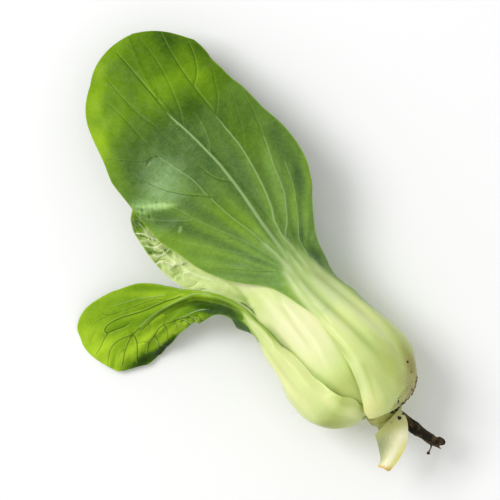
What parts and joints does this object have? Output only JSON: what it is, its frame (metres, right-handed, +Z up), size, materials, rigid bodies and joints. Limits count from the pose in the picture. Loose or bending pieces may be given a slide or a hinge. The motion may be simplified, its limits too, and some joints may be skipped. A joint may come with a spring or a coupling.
{
  "type": "bok choy",
  "caption": "Whole bok choy lying on its side: overlapping fleshy leaf stalks in a bulb, waved green blades, a leaf bent outwards, a snapped stalk and a taproot.",
  "frame": {"origin": "middle of the small flat that the bulb rests on, at the height of the surface", "axes": "+Z up; +Y along the plant from the taproot to the leaf tips; +X away from the leaf that is bent outwards"},
  "size_m": [0.1285, 0.2285, 0.0512],
  "materials": {
    "outer_leaf": "waxy leaf, pale fleshy stalk",
    "bent_leaf": "satin leaf, pale fleshy stalk",
    "inner_leaf": "satin leaf, pale fleshy stalk",
    "stem": "moist plant flesh",
    "torn_stalk": "moist plant flesh, yellowed edges",
    "root": "rough bark with soil"
  },
  "bodies": {
    "root": {"leaf_right": "outer_leaf", "leaf_back": "outer_leaf", "leaf_left": "bent_leaf", "leaf_middle": "inner_leaf", "leaf_inner_right": "inner_leaf", "leaf_inner_left": "inner_leaf", "heart_leaf_upper": "inner_leaf", "heart_leaf_lower": "inner_leaf", "stem_base": "stem", "broken_petiole": "torn_stalk", "taproot": "root"}
  },
  "joints": []
}
